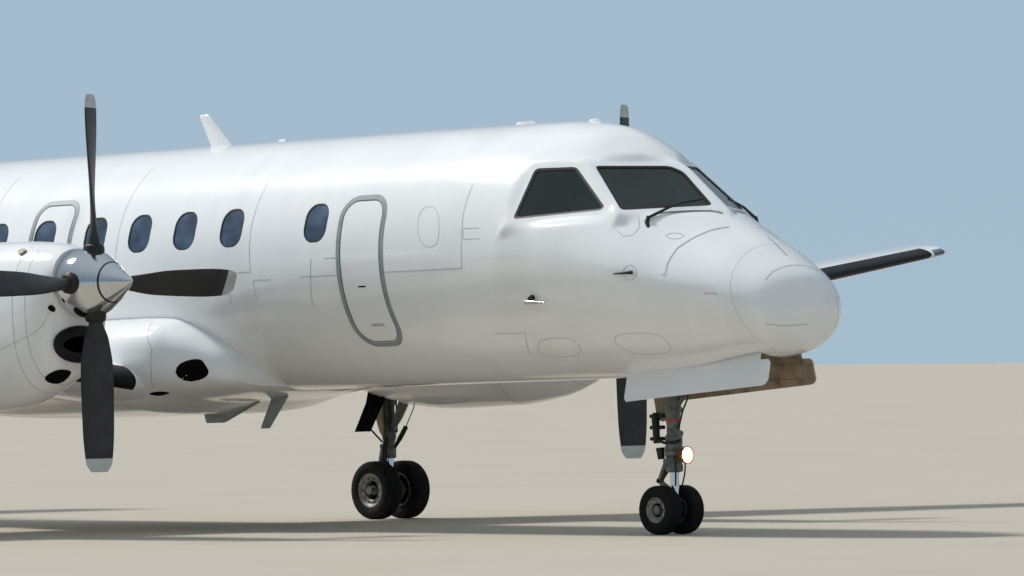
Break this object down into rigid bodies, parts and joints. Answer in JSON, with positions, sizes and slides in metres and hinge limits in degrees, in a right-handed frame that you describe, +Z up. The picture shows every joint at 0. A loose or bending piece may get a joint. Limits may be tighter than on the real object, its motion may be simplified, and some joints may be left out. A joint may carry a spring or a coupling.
{
  "type": "turboprop airliner",
  "caption": "Twin-turboprop regional airliner with a low wing and a low set tailplane, parked on its landing gear, all doors and flaps closed.",
  "frame": {"origin": "on the ground under the middle of the aircraft's length and span", "axes": "+X forward to the nose, +Y to port (left), +Z up"},
  "size_m": [19.7528, 21.44, 6.9704],
  "materials": {
    "white_paint": "gloss white polyurethane paint on aluminium skin",
    "tyre_rubber": "black tyre rubber on grey wheel halves",
    "cockpit_glass": "dark greenish laminated glass",
    "seat_fabric": "dark grey woven seat cover",
    "cockpit_plastic": "dark grey moulded panel with a fine grain",
    "blade_composite": "dark grey painted composite with a light tip",
    "polished_spinner": "polished bright metal",
    "engine_steel": "heat-stained bare steel",
    "gear_steel": "grey-green painted steel with bright pistons"
  },
  "bodies": {
    "airframe": {"radome": "white_paint", "flight_deck_section": "white_paint", "cabin_section": "white_paint", "aft_fuselage": "white_paint", "tail_cone": "white_paint", "wing_root_fairing": "white_paint", "passenger_door": "white_paint", "forward_exit": "white_paint", "cargo_door": "white_paint", "overwing_exit_left": "white_paint", "overwing_exit_right": "white_paint", "windscreen_left": "cockpit_glass", "windscreen_right": "cockpit_glass", "side_window_left": "cockpit_glass", "side_window_right": "cockpit_glass", "pilot_seat_left": "seat_fabric", "pilot_seat_right": "seat_fabric", "instrument_panel": "cockpit_plastic", "wing_left": "white_paint", "wing_right": "white_paint", "tailplane_left": "white_paint", "tailplane_right": "white_paint", "fin": "white_paint", "nose_cowl_left": "white_paint", "nose_cowl_right": "white_paint", "nacelle_left": "white_paint", "nacelle_right": "white_paint", "exhaust_left": "engine_steel", "exhaust_right": "engine_steel", "engine_left": "engine_steel", "engine_right": "engine_steel", "main_leg_left": "gear_steel", "main_leg_right": "gear_steel", "main_gear_door_left_inner": "white_paint", "main_gear_door_left_outer": "white_paint", "main_gear_door_right_inner": "white_paint", "main_gear_door_right_outer": "white_paint", "nose_leg": "gear_steel", "nose_gear_door_left": "white_paint", "nose_gear_door_right": "white_paint"},
    "nose_steering": {"nose_leg_steered": "gear_steel"},
    "nose_wheels": {"nose_wheel_left": "tyre_rubber", "nose_wheel_right": "tyre_rubber"},
    "rudder": {"rudder": "white_paint"},
    "propeller_left": {"spinner_left": "polished_spinner", "propeller_blades_left": "blade_composite"},
    "main_wheels_left": {"main_wheel_left_inner": "tyre_rubber", "main_wheel_left_outer": "tyre_rubber"},
    "flap_left": {"flap_inboard_left": "white_paint", "flap_outboard_left": "white_paint"},
    "aileron_left": {"aileron_left": "white_paint"},
    "elevator_left": {"elevator_left": "white_paint"},
    "propeller_right": {"spinner_right": "polished_spinner", "propeller_blades_right": "blade_composite"},
    "main_wheels_right": {"main_wheel_right_inner": "tyre_rubber", "main_wheel_right_outer": "tyre_rubber"},
    "flap_right": {"flap_inboard_right": "white_paint", "flap_outboard_right": "white_paint"},
    "aileron_right": {"aileron_right": "white_paint"},
    "elevator_right": {"elevator_right": "white_paint"}
  },
  "joints": [
    {"name": "propeller_left_spin", "type": "hinge", "parent": "airframe", "child": "propeller_left", "pos_m": [4.28297, 3.355, 2.27299], "axis": [0.9998, 0, 0.0215], "continuous": true},
    {"name": "propeller_right_spin", "type": "hinge", "parent": "airframe", "child": "propeller_right", "pos_m": [4.28297, -3.355, 2.27299], "axis": [0.9998, 0, 0.0215], "continuous": true},
    {"name": "main_wheels_left_roll", "type": "hinge", "parent": "airframe", "child": "main_wheels_left", "pos_m": [0.97001, 3.355, 0.284], "axis": [0, 1, 0], "continuous": true},
    {"name": "main_wheels_right_roll", "type": "hinge", "parent": "airframe", "child": "main_wheels_right", "pos_m": [0.97001, -3.355, 0.284], "axis": [0, 1, 0], "continuous": true},
    {"name": "nose_steering_turn", "type": "hinge", "parent": "airframe", "child": "nose_steering", "pos_m": [8.15388, 0, 0.64593], "axis": [-0.0215, 0, 0.9998], "range_deg": [-60, 60]},
    {"name": "nose_wheels_roll", "type": "hinge", "parent": "nose_steering", "child": "nose_wheels", "pos_m": [8.1131, 0, 0.217], "axis": [0, 1, 0], "continuous": true},
    {"name": "flap_left_lower", "type": "hinge", "parent": "airframe", "child": "flap_left", "pos_m": [0.7835, 2.22481, 1.29842], "axis": [-0.0136, -0.9913, -0.1309], "range_deg": [0, 35]},
    {"name": "flap_right_lower", "type": "hinge", "parent": "airframe", "child": "flap_right", "pos_m": [0.7835, -2.22481, 1.29842], "axis": [0.0136, -0.9913, 0.1309], "range_deg": [0, 35]},
    {"name": "aileron_left_turn", "type": "hinge", "parent": "airframe", "child": "aileron_left", "pos_m": [0.82356, 7.7, 2.21097], "axis": [-0.0169, -0.9912, -0.1311], "range_deg": [-20, 20]},
    {"name": "aileron_right_turn", "type": "hinge", "parent": "airframe", "child": "aileron_right", "pos_m": [0.82356, -7.7, 2.21097], "axis": [0.0169, -0.9912, 0.1311], "range_deg": [-20, 20]},
    {"name": "elevator_left_turn", "type": "hinge", "parent": "airframe", "child": "elevator_left", "pos_m": [-8.46752, 1.3, 2.85672], "axis": [0.0873, -0.9646, -0.249], "range_deg": [-25, 15]},
    {"name": "elevator_right_turn", "type": "hinge", "parent": "airframe", "child": "elevator_right", "pos_m": [-8.46752, -1.3, 2.85672], "axis": [-0.0873, -0.9646, 0.249], "range_deg": [-25, 15]},
    {"name": "rudder_turn", "type": "hinge", "parent": "airframe", "child": "rudder", "pos_m": [-8.06292, 0, 4.09771], "axis": [-0.3187, 0, 0.9479], "range_deg": [-30, 30]}
  ],
  "couplings": [
    {"joint": "flap_right_lower", "follows": "flap_left_lower", "ratio": 1},
    {"joint": "aileron_right_turn", "follows": "aileron_left_turn", "ratio": -1},
    {"joint": "elevator_right_turn", "follows": "elevator_left_turn", "ratio": 1}
  ]
}
